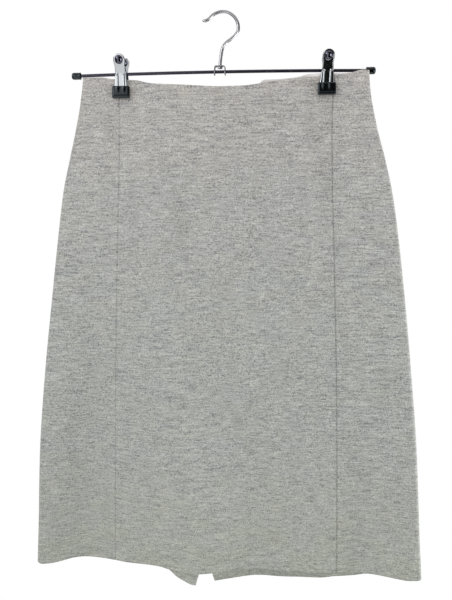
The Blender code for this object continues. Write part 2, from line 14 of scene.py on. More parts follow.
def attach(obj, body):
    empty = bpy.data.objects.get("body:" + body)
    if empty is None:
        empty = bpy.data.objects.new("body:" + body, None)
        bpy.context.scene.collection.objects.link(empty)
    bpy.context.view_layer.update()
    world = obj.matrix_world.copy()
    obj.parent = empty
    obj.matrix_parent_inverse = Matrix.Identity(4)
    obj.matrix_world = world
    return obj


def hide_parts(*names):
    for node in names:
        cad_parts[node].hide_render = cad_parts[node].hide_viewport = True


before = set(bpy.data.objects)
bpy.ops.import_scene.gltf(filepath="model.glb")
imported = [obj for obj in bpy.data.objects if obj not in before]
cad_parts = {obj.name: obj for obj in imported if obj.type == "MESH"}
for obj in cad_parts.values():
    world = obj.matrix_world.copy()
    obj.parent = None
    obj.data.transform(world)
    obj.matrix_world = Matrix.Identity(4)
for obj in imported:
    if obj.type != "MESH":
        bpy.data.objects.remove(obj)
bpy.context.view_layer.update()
SCENE = bpy.context.scene

# ---- Driving dimensions ------------------------------------------------------

CLOTH = 0.0016               # thickness of the knit
CLOTH_EDGE = 0.0005          # how far its edges are rounded
TURNED = 0.0011              # what a turned-in edge adds to it inside
TURN_EASE = 0.0010           # half the width over which that fades
HEM_TURN = 0.0300
WAIST_TURN = 0.0120
SLIT_TURN = 0.0090
SLIT_TOP = -0.575
SEAM_GAP = 0.00006           # between panels, down in the seam
SEAM_MIDDLE = 0.0030         # where the middle between both long front seams lies
SEAM_DIP = 0.0009            # how deep a seam lies
DIP_ACROSS = 1.5             # and what each metre to the right adds, as a share of that
SEAM_HALF = 0.0013           # half a seam's width
SEAM_REACH = 4.0             # how many times that a seam is felt
SEAM_LINE = 0.0007           # half the width of the painted shade line down in it
PAINTED_SEAM_SHADE = 0.9             # how dark that painted shade is
SHADE_ACROSS = 1.1           # and what each metre to the right adds
HEM_LINE = 0.0012            # how far up from the hem the painted shade along its edge reaches
# how dark the painted shade along the hem's edge is
PAINTED_HEM_SHADE = 0.9
CREASE_SIDE = 0.25           # how far in, from 0 at the sides to 1, creases have their whole rise
CREASE_POWER = 1.5           # how softly a crease starts and ends
PAST_HEM = 1.05              # where a long fold stops growing, as a share of its way down

BAR_LENGTH = 0.381
BAR_MIDDLE = -0.0017
BAR_HEIGHT = -0.0712
BAR_BOW = 0.0020             # how much lower its ends lie
BAR_RADIUS = 0.0020
CAP_RADIUS = 0.0044
CAP_LENGTH = 0.0114
CAP_FLOOR = 0.0022           # how thick the cap is before the bar's end
CAP_BORE = BAR_RADIUS + 0.0003

WIRE_RADIUS = 0.0020
WIRE_STEP = 0.0014           # between the rings of its mesh
WIRE_HEAD = 0.0031           # radius of the head on the wire's lower end
HEAD_THICKNESS = 0.0022
HEAD_EDGE = 0.0004           # height of the head's chamfers
HEAD_CHAMFER = 0.85          # and the share of its radius that they leave
HEAD_GAP = 0.0003            # between the head and the bracket
CROWN_RADIUS = 0.0199
BRACKET_MIDDLE = -0.0032
BRACKET_WIDTH = 0.0138
BRACKET_DEPTH = 0.0080
BRACKET_TOP = -0.0638
BRACKET_LOW = -0.0756
BRACKET_BEND = 0.0018
BRACKET_SPLAY = 0.0003       # how far each ear leans out
EAR_ROUND = 0.0030           # how tightly the ears' ends are rounded
EAR_END = 0.35               # and how blunt they are, from 0 for a point
PLATE = 0.0010
PLATE_EDGE = 0.0002          # how far the edges of stamped plates are rounded

JAW_PLATE = 0.0009
JAW_EDGE = 0.10              # share of half the jaw's width that is rolled over
JAW_CORE = 0.0054            # half the width in which the grid's columns run straight
CORE_SHARE = 0.76            # and their share of all columns
HEAD_ROWS = 0.30             # share of the grid's rows that lie round the jaw's head
LEAN_START = -0.0140         # height from the bar's middle where a jaw starts to lean
HEAD_HEIGHT = 0.0160
HEAD_RADIUS = 0.0070
DOME_RADIUS = 0.0049
DOME_RISE = 0.0032
RIB_ACROSS = 0.0040
RIB_RISE = 0.0007
RIB_HALF = 0.0006
RIB_TOP = 0.0012
RIB_FADE = 0.0020            # how long a rib takes to run out at its top

BOOT_WIDTH = 0.0225
BOOT_DEPTH = 0.0056
BOOT_TOP = -0.0872
BOOT_LOW = -0.1024
BOOT_ROUND = 0.0019
BOOT_GAP = 0.0003            # between the rubber and the cloth
BOOT_RIB_RISE = 0.0009       # how far the jaw's ribs stand out under the rubber
BOOT_RIB_HALF = 0.0013
BOOT_LIP_RISE = 0.0005       # the boot's lip, close to its lower edge
BOOT_LIP_HALF = 0.0012
BOOT_LIP_UP = 0.0022
BOOT_FACE = 0.6              # the share of its depth past which a boot shows them
SPRING_RADIUS = 0.0033
SPRING_LEG = 0.0095
SPRING_PLATE = 0.0007
SPRING_EDGE = 0.00015
SPRING_WIDTH = 0.0090

# ---- Meshes ------------------------------------------------------------------

PANEL_ROWS = 168
CENTRE_CROWDING = 0.80       # how much closer the columns lie at the edges of the centre panel
SIDE_CROWDING = 0.62         # of the other panels
DOWN_CROWDING = 0.55         # and the rows at the waist and the hem
FOLD_COLUMNS = 0.14          # share of a panel's columns that go round the side fold
JAW_GRID = 76, 120           # columns and rows of a jaw
BOOT_CUTS = 22               # across each side of a boot
BAR_STEPS = 48               # along the bar
WIRE_SIDES = 24              # round the bar and the hook
CAP_SIDES = 32
STRIP_STEP = 0.0007          # along the bracket
STRIP_ROWS = 6               # across it
BEND_STEPS = 6               # round each of its bends
SPRING_STEPS = 12            # round the bend of a spring
SPRING_ROWS = 4              # across it

# ---- The skirt's tables ------------------------------------------------------

# Down the skirt: half its width and where its middle lies, how far the long front seams lie from
# the middle between them, the radius of the side folds, and how far each layer stands out.
Level = namedtuple("Level", "height half middle seam fold front back")
LEVELS = (
    Level(-0.0740, 0.1786, 0.0013, 0.1345, 0.0013, 0.0042, 0.0042),
    Level(-0.1000, 0.1810, 0.0010, 0.1343, 0.0014, 0.0058, 0.0050),
    Level(-0.1400, 0.1887, 0.0013, 0.1337, 0.0018, 0.0075, 0.0060),
    Level(-0.1800, 0.1989, 0.0022, 0.1343, 0.0022, 0.0088, 0.0070),
    Level(-0.2200, 0.2080, 0.0026, 0.1349, 0.0025, 0.0095, 0.0080),
    Level(-0.2700, 0.2154, 0.0031, 0.1368, 0.0028, 0.0100, 0.0090),
    Level(-0.3500, 0.2250, 0.0033, 0.1394, 0.0032, 0.0105, 0.0095),
    Level(-0.4500, 0.2353, 0.0030, 0.1422, 0.0038, 0.0110, 0.0095),
    Level(-0.5500, 0.2431, 0.0034, 0.1440, 0.0044, 0.0112, 0.0092),
    Level(-0.6500, 0.2467, 0.0045, 0.1452, 0.0050, 0.0115, 0.0090),
    Level(-0.7400, 0.2500, 0.0053, 0.1456, 0.0052, 0.0115, 0.0090),
)

# The waist's and the hem's edges: places across and heights.
FRONT_WAIST = (
    (-0.180, -0.0755), (-0.155, -0.0757), (-0.140, -0.0778), (-0.110, -0.0798), (-0.091, -0.0842),
    (-0.050, -0.0870), (0.000, -0.0898), (0.022, -0.0896), (0.041, -0.0880), (0.060, -0.0852),
    (0.084, -0.0825), (0.121, -0.0789), (0.142, -0.0776), (0.157, -0.0768), (0.167, -0.0745),
    (0.173, -0.0736), (0.182, -0.0744),
)
BACK_WAIST = (
    (-0.180, -0.0755), (-0.139, -0.0785), (-0.091, -0.0842), (-0.050, -0.0868), (0.000, -0.0900),
    (0.041, -0.0886), (0.052, -0.0812), (0.072, -0.0806), (0.093, -0.0788), (0.108, -0.0756),
    (0.142, -0.0754), (0.160, -0.0756), (0.182, -0.0744),
)
FRONT_HEM = (
    (-0.250, -0.7030), (-0.237, -0.7080), (-0.226, -0.7086), (-0.197, -0.7061), (-0.172, -0.7073),
    (-0.137, -0.7049), (-0.108, -0.7047), (-0.082, -0.7057), (-0.064, -0.7087), (-0.053, -0.7104),
    (-0.020, -0.7096), (0.023, -0.7074), (0.072, -0.7072), (0.120, -0.7077), (0.146, -0.7080),
    (0.171, -0.7106), (0.206, -0.7123), (0.233, -0.7129), (0.250, -0.7103), (0.258, -0.7085),
)
BACK_HEM = (
    (-0.250, -0.7040), (-0.192, -0.7080), (-0.137, -0.7095), (-0.100, -0.7120), (-0.080, -0.7160),
    (-0.069, -0.7230), (-0.062, -0.7282), (-0.050, -0.7322), (-0.038, -0.7356), (-0.013, -0.7319),
    (0.012, -0.7303), (0.031, -0.7292), (0.067, -0.7272), (0.102, -0.7250), (0.127, -0.7246),
    (0.150, -0.7222), (0.170, -0.7224), (0.189, -0.7202), (0.206, -0.7174), (0.233, -0.7140),
    (0.258, -0.7090),
)

# The line between both back panels, and half the width to which the slit stands open.
Middle = namedtuple("Middle", "height across opening")
BACK_MIDDLE = (
    Middle(-0.0740, 0.0030, 0.0), Middle(-0.4000, -0.0060, 0.0), Middle(SLIT_TOP, -0.0140, 0.0),
    Middle(-0.6500, -0.0192, 0.0054), Middle(-0.7200, -0.0226, 0.0086),
    Middle(-0.7260, -0.0230, 0.0100), Middle(-0.7315, -0.0228, 0.0114),
    Middle(-0.7400, -0.0234, 0.0126),
)

# Long folds, shared by both layers. Their depth is towards the back.
Wave = namedtuple("Wave", "top_across top_height hem_across top_width hem_width depth power")
WAVES = (
    Wave(-0.200, -0.250, -0.256, 0.026, 0.036, -0.0190, 1.5),   # left edge turns forward
    Wave(-0.140, -0.130, -0.176, 0.020, 0.036, 0.0190, 1.0),    # trough beside it
    Wave(-0.100, -0.130, -0.034, 0.020, 0.038, -0.0110, 0.9),   # ridge from the left clip
    Wave(0.060, -0.430, 0.046, 0.022, 0.028, 0.0070, 1.1),      # shallow trough
    Wave(0.185, -0.430, 0.186, 0.024, 0.030, 0.0110, 1.2),      # trough on the right
    Wave(0.228, -0.330, 0.262, 0.024, 0.032, -0.0150, 1.3),     # right edge turns forward
)
HEM_LEVEL = -0.7120

# Short creases of one layer, from end to end. Their rise is outwards. The last rows of each table
# are small ones that the solids don't have.
Crease = namedtuple("Crease", "from_across from_height to_across to_height width rise")
FRONT_CREASES = (
    Crease(-0.124, -0.100, -0.116, -0.430, 0.016, 0.0020),      # beside the left seam
    Crease(-0.108, -0.100, -0.060, -0.360, 0.018, 0.0018),      # fans out from the left clip
    Crease(-0.070, -0.200, -0.018, -0.540, 0.022, -0.0030),     # trough below it
    Crease(0.118, -0.100, 0.106, -0.350, 0.017, 0.0026),        # fans out from the right clip
    Crease(0.136, -0.110, 0.136, -0.380, 0.013, -0.0022),       # along the right seam
    Crease(0.088, -0.110, 0.020, -0.300, 0.024, 0.0016),        # towards the middle
    Crease(-0.010, -0.560, 0.004, -0.720, 0.030, 0.0022),
    Crease(-0.1205, -0.105, -0.1190, -0.400, 0.0075, 0.0026),   # close beside the left seam
    Crease(-0.096, -0.120, -0.040, -0.360, 0.0100, 0.0028),     # down from the left clip
    Crease(-0.076, -0.130, -0.010, -0.440, 0.0110, -0.0030),
    Crease(0.1060, -0.095, 0.1030, -0.310, 0.0105, 0.0026),     # beside the right clip
    Crease(0.1285, -0.100, 0.1280, -0.300, 0.0090, -0.0028),    # and below it
    Crease(0.1500, -0.110, 0.1640, -0.330, 0.0110, 0.0016),
    Crease(-0.1510, -0.110, -0.1580, -0.360, 0.0095, 0.0020),
    Crease(0.1700, -0.420, 0.1560, -0.640, 0.0140, -0.0016),
)
BACK_CREASES = (
    Crease(-0.118, -0.110, -0.080, -0.420, 0.022, 0.0024),
    Crease(0.116, -0.110, 0.078, -0.400, 0.022, 0.0024),
    Crease(-0.060, -0.300, -0.090, -0.660, 0.028, 0.0030),
    Crease(0.070, -0.380, 0.100, -0.700, 0.030, 0.0026),
    Crease(-0.040, -0.640, -0.036, -0.760, 0.020, -0.0100),     # slit's corner turns inwards
    Crease(-0.1250, -0.105, -0.1180, -0.330, 0.0085, -0.0026),  # below the left clip
    Crease(0.1230, -0.105, 0.0900, -0.360, 0.0100, 0.0028),     # down from the right clip
    Crease(0.1020, -0.140, 0.0500, -0.400, 0.0120, -0.0026),
    Crease(-0.0950, -0.130, -0.0300, -0.330, 0.0110, 0.0022),
    Crease(0.0080, -0.340, -0.0060, -0.560, 0.0080, 0.0018),    # draws along the centre seam
)

# The waist's right corner comes forward: across the skirt from start to end, and down the skirt
# from full to gone.
CORNER_START = 0.1440
CORNER_END = 0.1760
CORNER_FORWARD = 0.0076
CORNER_FULL = -0.0860
CORNER_GONE = -0.2300

# Both clips, with how far their jaws lean to the right.
Clip = namedtuple("Clip", "name across front_lean back_lean")
CLIPS = (
    Clip("clip_left", -0.1279, radians(-1.4), radians(0.4)),
    Clip("clip_right", 0.1295, radians(3.4), radians(2.6)),
)
PINCH_EDGE = 0.0007          # how far beside a boot both layers are still held together
PINCH_EASE = 0.0160          # and how far beyond that they come free
PINCH_SPREAD = 0.16          # what each metre below the boots adds to it
PINCH_GONE = 0.150           # how far below the boots they are free everywhere

# The jaw from its head down, with heights from the bar's middle: half its width, how far out it
# stands, and how far its edges are rolled back.
Stamp = namedtuple("Stamp", "height half stand flange")
JAW = (
    Stamp(0.0230, 0.0070, 0.0138, 0.0010),
    Stamp(0.0175, 0.0070, 0.0128, 0.0011),
    Stamp(0.0150, 0.0070, 0.0122, 0.0013),
    Stamp(0.0120, 0.0066, 0.0112, 0.0018),
    Stamp(0.0085, 0.0062, 0.0096, 0.0026),
    Stamp(0.0045, 0.0064, 0.0075, 0.0028),
    Stamp(0.0010, 0.0068, 0.0056, 0.0022),
    Stamp(-0.0025, 0.0072, 0.0050, 0.0018),
    Stamp(-0.0085, 0.0078, 0.0050, 0.0018),
    Stamp(-0.0140, 0.0083, 0.0050, 0.0014),
    Stamp(-0.0240, 0.0080, 0.0050, 0.0002),
)

# ---- Small tools -------------------------------------------------------------


def smooth_step(low, high, value):
    """0 below low, 1 above high, and an even S between them."""
    t = min(max((value - low) / (high - low), 0.0), 1.0)
    return t * t * (3.0 - 2.0 * t)


def smooth_curve(places, values):
    """A smooth curve through the values that never swings past them, flat beyond its ends."""
    if places[0] > places[-1]:
        places, values = places[::-1], values[::-1]
    steps = [b - a for a, b in zip(places, places[1:])]
    rates = [(b - a) / step for a, b, step in zip(values, values[1:], steps)]
    slopes = [0.0] * len(places)
    for i in range(1, len(places) - 1):
        before, after = rates[i - 1], rates[i]
        if before * after > 0.0:
            slopes[i] = 2.0 * before * after / (before + after)

    def read(at):
        if at <= places[0]:
            return values[0]
        if at >= places[-1]:
            return values[-1]
        i = max(k for k, place in enumerate(places) if place <= at)
        step = steps[i]
        t = (at - places[i]) / step
        rise = values[i + 1] - values[i]
        lean = slopes[i] * step
        bend = 3.0 * rise - 2.0 * lean - slopes[i + 1] * step
        curl = lean + slopes[i + 1] * step - 2.0 * rise
        return values[i] + t * (lean + t * (bend + t * curl))

    return read


def columns_of(rows):
    """One smooth curve for each named column of a table, read by its first column."""
    places = [row[0] for row in rows]
    return {name: smooth_curve(places, [getattr(row, name) for row in rows])
            for name in rows[0]._fields[1:]}


LEVEL = columns_of(LEVELS)
MIDDLE_LINE = columns_of(BACK_MIDDLE)
JAW_LINE = columns_of(JAW)
EDGE_LINE = {name: smooth_curve(*zip(*points))
             for name, points in (("front waist", FRONT_WAIST), ("back waist", BACK_WAIST),
                                  ("front hem", FRONT_HEM), ("back hem", BACK_HEM))}


def bell(distance, width):
    """The round profile of a fold."""
    return exp(-(distance / width) ** 2)


def crowded(share, amount):
    """A share from 0 to 1 with more steps near its two ends."""
    return share - amount * sin(2.0 * pi * share) / (2.0 * pi)


# ---- The skirt's surface -----------------------------------------------------


def wave_depth(wave, across, height):
    """How far back one long fold lies at a point."""
    down = (wave.top_height - height) / (wave.top_height - HEM_LEVEL)
    if down <= 0.0:
        return 0.0
    middle = wave.top_across + (wave.hem_across - wave.top_across) * down
    width = wave.top_width + (wave.hem_width - wave.top_width) * min(down, 1.0)
    return wave.depth * min(down, PAST_HEM) ** wave.power * bell(across - middle, width)


def crease_rise(crease, across, height):
    """How far one short crease stands out at a point."""
    run_across = crease.to_across - crease.from_across
    run_down = crease.to_height - crease.from_height
    length = hypot(run_across, run_down)
    aside = across - crease.from_across
    below = height - crease.from_height
    along = (aside * run_across + below * run_down) / length ** 2
    if not 0.0 < along < 1.0:
        return 0.0
    off_line = (aside * run_down - below * run_across) / length
    return crease.rise * sin(pi * along) ** CREASE_POWER * bell(off_line, crease.width)


def free_share(across, height):
    """1 where the cloth is free to stand out, 0 where a clip holds both layers together."""
    share = 1.0
    for clip in CLIPS:
        below = max(BOOT_LOW - height, 0.0)
        held = BOOT_WIDTH / 2 + PINCH_EDGE
        free = held + PINCH_EASE + PINCH_SPREAD * below
        hold = 1.0 - smooth_step(0.0, PINCH_GONE, below)
        share *= 1.0 - hold * (1.0 - smooth_step(held, free, abs(across - clip.across)))
    return share


def sway(across, height):
    """Where the middle between both layers lies."""
    depth = sum(wave_depth(wave, across, height) for wave in WAVES)
    forward = CORNER_FORWARD * smooth_step(CORNER_START, CORNER_END, across)
    return depth - forward * smooth_step(CORNER_GONE, CORNER_FULL, height)


def beside_seam(face, across, height):
    """How far a point lies from the nearest long seam of its layer."""
    if face == "front":
        reach = LEVEL["seam"](height)
        return min(abs(across - SEAM_MIDDLE - reach), abs(across - SEAM_MIDDLE + reach))
    if height > SLIT_TOP:
        return abs(across - MIDDLE_LINE["across"](height))
    return 1.0


def painted_seam_shade(face, across, height):
    """Painted shade: how much darker the cloth is painted in its seams, most in the right one, and
    at its hem's edge.
    """
    seam = PAINTED_SEAM_SHADE + SHADE_ACROSS * across
    seam *= bell(beside_seam(face, across, height), SEAM_LINE)
    above_hem = height - EDGE_LINE[face + " hem"](across)
    return max(seam, PAINTED_HEM_SHADE * bell(above_hem, HEM_LINE))


def seam_dip(face, across, height):
    """How far the cloth dips into its seams, a little unevenly along them."""
    beside = beside_seam(face, across, height)
    if beside > SEAM_REACH * SEAM_HALF:
        return 0.0
    pucker = 0.9 + 0.22 * sin(height * 410.0) + 0.18 * sin(height * 173.0 + across * 9.0)
    return SEAM_DIP * (pucker + DIP_ACROSS * across) * bell(beside, SEAM_HALF)


def layer_depth(face, across, height):
    """Y of the middle of the cloth in the front or back layer."""
    half = LEVEL["half"](height)
    fold = LEVEL["fold"](height)
    aside = min(abs(across - LEVEL["middle"](height)), half)
    into_fold = max(aside - (half - fold), 0.0) / fold
    round_side = fold * sqrt(max(1.0 - into_fold ** 2, 0.0))
    inner = 1.0 - (aside / half) ** 2
    stand = LEVEL[face](height) * inner * free_share(across, height)
    creases = FRONT_CREASES if face == "front" else BACK_CREASES
    relief = sum(crease_rise(crease, across, height) for crease in creases)
    relief *= min(1.0, inner / CREASE_SIDE) * free_share(across, height)
    out = round_side + max(stand + relief, 0.0) - seam_dip(face, across, height)
    return sway(across, height) + (-out if face == "front" else out)


# The next functions each give a line down the skirt: a function of height that tells where
# across the skirt the line lies.


def seam_line(side, offset):
    """A long front seam, and how far outside it."""
    return lambda height: SEAM_MIDDLE + side * (LEVEL["seam"](height) + offset)


def back_middle_line(side):
    """One edge of the back's centre seam and of the slit below it."""
    return lambda height: (MIDDLE_LINE["across"](height)
                           + side * (MIDDLE_LINE["opening"](height) + SEAM_GAP / 2))


def fold_line(side, share):
    """Round the side fold, from the flat (share 0) to the side seam (share 1)."""
    def place(height):
        fold = LEVEL["fold"](height)
        last = acos(SEAM_GAP / 2 / fold)
        aside = LEVEL["half"](height) - fold + fold * sin(share * last)
        return LEVEL["middle"](height) + side * aside
    return place


def across_flat(first, last, share):
    """A share of the way across, between two lines."""
    return lambda height: first(height) * (1.0 - share) + last(height) * share


def across_to_fold(first, side, share):
    """The same for a panel whose last columns lie round the side fold."""
    if share > 1.0 - FOLD_COLUMNS:
        return fold_line(side, (share - 1.0 + FOLD_COLUMNS) / FOLD_COLUMNS)
    return across_flat(first, fold_line(side, 0.0), share / (1.0 - FOLD_COLUMNS))


# ---- Making objects ----------------------------------------------------------


def add_piece(name, bm, finish, node, sharp=radians(45)):
    """Turn a bmesh into a smooth-shaded piece that rides on the body and stands for a node."""
    mesh = bpy.data.meshes.new(name)
    bm.to_mesh(mesh)
    bm.free()
    mesh.shade_smooth()
    if sharp:
        mesh.set_sharp_from_angle(angle=sharp)
    mesh.materials.append(finish)
    piece = bpy.data.objects.new(name, mesh)
    SCENE.collection.objects.link(piece)
    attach(piece, "root")
    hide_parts(node)
    return piece


def moved_grid(columns, rows, place):
    """A grid whose points are moved onto a surface by their shares across and down."""
    bm = bmesh.new()
    bm.loops.layers.uv.new("UVMap")
    bmesh.ops.create_grid(bm, x_segments=columns, y_segments=rows, size=0.5, calc_uvs=True)
    for point in bm.verts:
        point.co = place(point.co.x + 0.5, 0.5 - point.co.y)
    return bm


def give_wall(piece, thickness, edge_round, offset=-1.0):
    """A wall with softened edges, made by modifiers."""
    wall = piece.modifiers.new("wall", "SOLIDIFY")
    wall.thickness = thickness
    wall.offset = offset
    wall.use_even_offset = True
    soft = piece.modifiers.new("soft edge", "BEVEL")
    soft.width = edge_round
    soft.segments = 2
    soft.limit_method = "ANGLE"
    soft.angle_limit = radians(50)
    soft.harden_normals = True
    return wall


# ---- Skirt -------------------------------------------------------------------


def panel_place(face, column, down):
    """The point in the middle of the cloth, a share of the way down a column."""
    height = HEM_LEVEL * down + BAR_HEIGHT * (1.0 - down)
    for _ in range(4):       # the column leans, so its ends are found in a few rounds
        across = column(height)
        top = EDGE_LINE[face + " waist"](across)
        low = EDGE_LINE[face + " hem"](across)
        height = top + (low - top) * down
    across = column(height)
    return Vector((across, layer_depth(face, across, height), height))


def within_turn(from_edge, turn):
    """1 closer to an edge than its turned width, 0 beyond it."""
    return 1.0 - smooth_step(turn - TURN_EASE, turn + TURN_EASE, from_edge)


def turned_share(face, point):
    """1 where the cloth is turned in behind itself: at the waist, the hem and the slit."""
    above_hem = point.z - EDGE_LINE[face + " hem"](point.x)
    below_waist = EDGE_LINE[face + " waist"](point.x) - point.z
    share = max(within_turn(above_hem, HEM_TURN), within_turn(below_waist, WAIST_TURN))
    if face == "back" and point.z < SLIT_TOP:
        beside = abs(point.x - MIDDLE_LINE["across"](point.z)) - MIDDLE_LINE["opening"](point.z)
        share = max(share, within_turn(beside, SLIT_TURN))
    return share


# The flat sizes are those of the cloth that shows, without what is turned in.
Cut = namedtuple("Cut", "name node face columns flat area")
CUTS = (
    Cut("knit_front_centre", "front_centre_panel", "front", 104, (0.299, 0.632), 0.177),
    Cut("knit_front_side_left", "front_side_panel_left", "front", 56, (0.115, 0.637), 0.057),
    Cut("knit_front_side_right", "front_side_panel_right", "front", 56, (0.115, 0.644), 0.057),
    Cut("knit_back_left", "back_panel_left", "back", 104, (0.242, 0.650), 0.140),
    Cut("knit_back_right", "back_panel_right", "back", 104, (0.285, 0.649), 0.155),
)


def column_of(cut, share):
    """The column a share of the way across one cut, always from left to right."""
    side = -1 if cut.name.endswith("left") else 1
    if cut.name == "knit_front_centre":
        edges = seam_line(-1, -SEAM_GAP / 2), seam_line(1, -SEAM_GAP / 2)
        return across_flat(*edges, crowded(share, CENTRE_CROWDING))
    if side < 0:
        share = 1.0 - share
    inner = seam_line(side, SEAM_GAP / 2) if cut.face == "front" else back_middle_line(side)
    return across_to_fold(inner, side, crowded(share, SIDE_CROWDING))


def mark(piece, name, worth):
    """A value at each point of a piece, for its finish to read."""
    layer = piece.data.attributes.new(name, "FLOAT", "POINT")
    for point in piece.data.vertices:
        layer.data[point.index].value = worth(point.co)


def make_panel(cut, finish, inside):
    """One cut piece: a grid for its outer side, and a wall that is thicker where it is turned in."""

    def place(across, down):
        return panel_place(cut.face, column_of(cut, across), crowded(down, DOWN_CROWDING))

    bm = moved_grid(cut.columns, PANEL_ROWS, place)
    if cut.face == "back":
        bmesh.ops.reverse_faces(bm, faces=bm.faces)
    bm.normal_update()
    for point in bm.verts:
        point.co += point.normal * (CLOTH / 2)
    piece = add_piece(cut.name, bm, finish, cut.node, sharp=None)
    piece.data.materials.append(inside)
    # the painted shade of the seams and the hem's edge, kept at each point for the finish
    mark(piece, "seam", lambda co: painted_seam_shade(cut.face, co.x, co.z))
    full = CLOTH + TURNED
    thick = piece.vertex_groups.new(name="thickness")
    for point in piece.data.vertices:
        share = (CLOTH + TURNED * turned_share(cut.face, point.co)) / full
        thick.add([point.index], share, "REPLACE")
    wall = give_wall(piece, full, CLOTH_EDGE)
    wall.vertex_group = "thickness"
    wall.material_offset = 1


# ---- Hanger ------------------------------------------------------------------


def bar_height(across):
    """Height of the bar's middle, a little lower towards its ends."""
    return BAR_HEIGHT - BAR_BOW * ((across - BAR_MIDDLE) / (BAR_LENGTH / 2)) ** 2


def swept_wire(name, route, radii, finish, node):
    """A round wire swept along a route in the XZ plane, closed at both ends."""
    stations = []
    for i, (across, height) in enumerate(route):
        before = route[max(i - 1, 0)]
        after = route[min(i + 1, len(route) - 1)]
        turn = atan2(after[0] - before[0], after[1] - before[1])
        place = Matrix.Translation((across, 0.0, height)) @ Matrix.Rotation(turn, 4, "Y")
        stations.append(place @ Matrix.Scale(radii[i], 4))
    bm = bmesh.new()
    ring = bmesh.ops.create_circle(bm, segments=WIRE_SIDES, radius=1.0,
                                   matrix=stations[0])["verts"]
    edges = list({edge for point in ring for edge in point.link_edges})
    bmesh.ops.edgeloop_fill(bm, edges=edges)
    for here, there in zip(stations, stations[1:]):
        made = bmesh.ops.extrude_edge_only(bm, edges=edges)["geom"]
        ring = {item for item in made if isinstance(item, bmesh.types.BMVert)}
        edges = [item for item in made if isinstance(item, bmesh.types.BMEdge)
                 and set(item.verts) <= ring]
        bmesh.ops.transform(bm, matrix=there @ here.inverted(), verts=list(ring))
    bmesh.ops.edgeloop_fill(bm, edges=edges)
    bmesh.ops.recalc_face_normals(bm, faces=bm.faces)
    return add_piece(name, bm, finish, node)


def make_bar(finish):
    """The round bar, from the floor of one cap to the other's."""
    end = BAR_LENGTH / 2 - CAP_FLOOR
    across = [BAR_MIDDLE - end + 2 * end * i / BAR_STEPS for i in range(BAR_STEPS + 1)]
    route = [(place, bar_height(place)) for place in across]
    swept_wire("bar", route, [BAR_RADIUS] * len(route), finish, "hanger_bar")


def make_cap(side, word, finish):
    """A rubber cap turned about the bar's end, with a bead at its mouth."""
    profile = (
        (0.0, 0.0002), (CAP_RADIUS * 0.45, 0.0), (CAP_RADIUS * 0.78, 0.0005),
        (CAP_RADIUS * 0.95, 0.0016), (CAP_RADIUS, 0.0032), (CAP_RADIUS * 0.98, 0.0080),
        (CAP_RADIUS * 0.98, 0.0098), (CAP_RADIUS * 1.02, 0.0104), (CAP_RADIUS * 1.02, 0.0110),
        (CAP_RADIUS * 0.92, CAP_LENGTH), (CAP_BORE, CAP_LENGTH), (CAP_BORE, CAP_FLOOR),
        (0.0, CAP_FLOOR),
    )
    bm = bmesh.new()
    points = [bm.verts.new((along, 0.0, radius)) for radius, along in profile]
    edges = [bm.edges.new(pair) for pair in zip(points, points[1:])]
    bmesh.ops.spin(bm, geom=points + edges, axis=(1, 0, 0), cent=(0, 0, 0), angle=2 * pi,
                   steps=CAP_SIDES, use_merge=True)
    bmesh.ops.remove_doubles(bm, verts=bm.verts, dist=0.00001)
    end = BAR_MIDDLE + side * BAR_LENGTH / 2
    bmesh.ops.scale(bm, vec=(-side, 1, 1), verts=bm.verts)
    bmesh.ops.translate(bm, vec=(end, 0, bar_height(end)), verts=bm.verts)
    bmesh.ops.recalc_face_normals(bm, faces=bm.faces)
    add_piece("cap_" + word, bm, finish, "bar_cap_" + word)


def hook_route():
    """Middle of the hook's wire: a straight shank, a reverse bend, the crown and a turned lip."""
    crown_height = WIRE_RADIUS - CROWN_RADIUS
    turns = [radians(degrees) for degrees in range(-12, 133, 12)]
    crown = [(CROWN_RADIUS * cos(turn), crown_height + CROWN_RADIUS * sin(turn)) for turn in turns]
    shank = [(-0.0030, -0.0668), (-0.0029, -0.0630), (-0.0024, -0.0570), (-0.0014, -0.0500),
             (-0.0004, -0.0445), (0.0014, -0.0398), (0.0048, -0.0357), (0.0098, -0.0322),
             (0.0142, -0.0287), (0.0175, -0.0250)]
    lip = [(-0.0165, -0.0062), (-0.0196, -0.0080), (-0.0222, -0.0086), (-0.0248, -0.0082)]
    return shank + crown + lip


def smooth_route(points, spacing):
    """Evenly spaced points on a smooth curve through a route's own points."""
    run = [0.0]
    for a, b in zip(points, points[1:]):
        run.append(run[-1] + hypot(b[0] - a[0], b[1] - a[1]))
    count = round(run[-1] / spacing)
    route = []
    for i in range(count + 1):
        at = run[-1] * i / count
        k = min(max(j for j, place in enumerate(run) if place <= at), len(points) - 2)
        before = points[max(k - 1, 0)]
        after = points[min(k + 2, len(points) - 1)]
        t = (at - run[k]) / (run[k + 1] - run[k])
        route.append(tuple(
            0.5 * (2 * b + (c - a) * t + (2 * a - 5 * b + 4 * c - d) * t ** 2
                   + (3 * b - a - 3 * c + d) * t ** 3)
            for a, b, c, d in zip(before, points[k], points[k + 1], after)))
    return route


def make_hook(finish):
    """The wire, with a round head below the bracket's top and a rounded tip."""
    neck = BRACKET_TOP - PLATE - HEAD_GAP
    foot = neck - HEAD_THICKNESS
    start = neck + 0.0006       # of the even wire above the head
    route = [point for point in smooth_route(hook_route(), WIRE_STEP) if point[1] > start]
    first = hook_route()[0][0]
    rings = ((foot, WIRE_HEAD * HEAD_CHAMFER), (foot + HEAD_EDGE, WIRE_HEAD),
             (neck - HEAD_EDGE, WIRE_HEAD), (neck, WIRE_HEAD * HEAD_CHAMFER),
             (neck + 0.0002, WIRE_RADIUS))
    head = [(first, height) for height, _ in rings]
    radii = [radius for _, radius in rings] + [WIRE_RADIUS] * len(route)
    radii[-2:] = WIRE_RADIUS * 0.86, WIRE_RADIUS * 0.45
    swept_wire("hook", head + route, radii, finish, "hanger_hook")


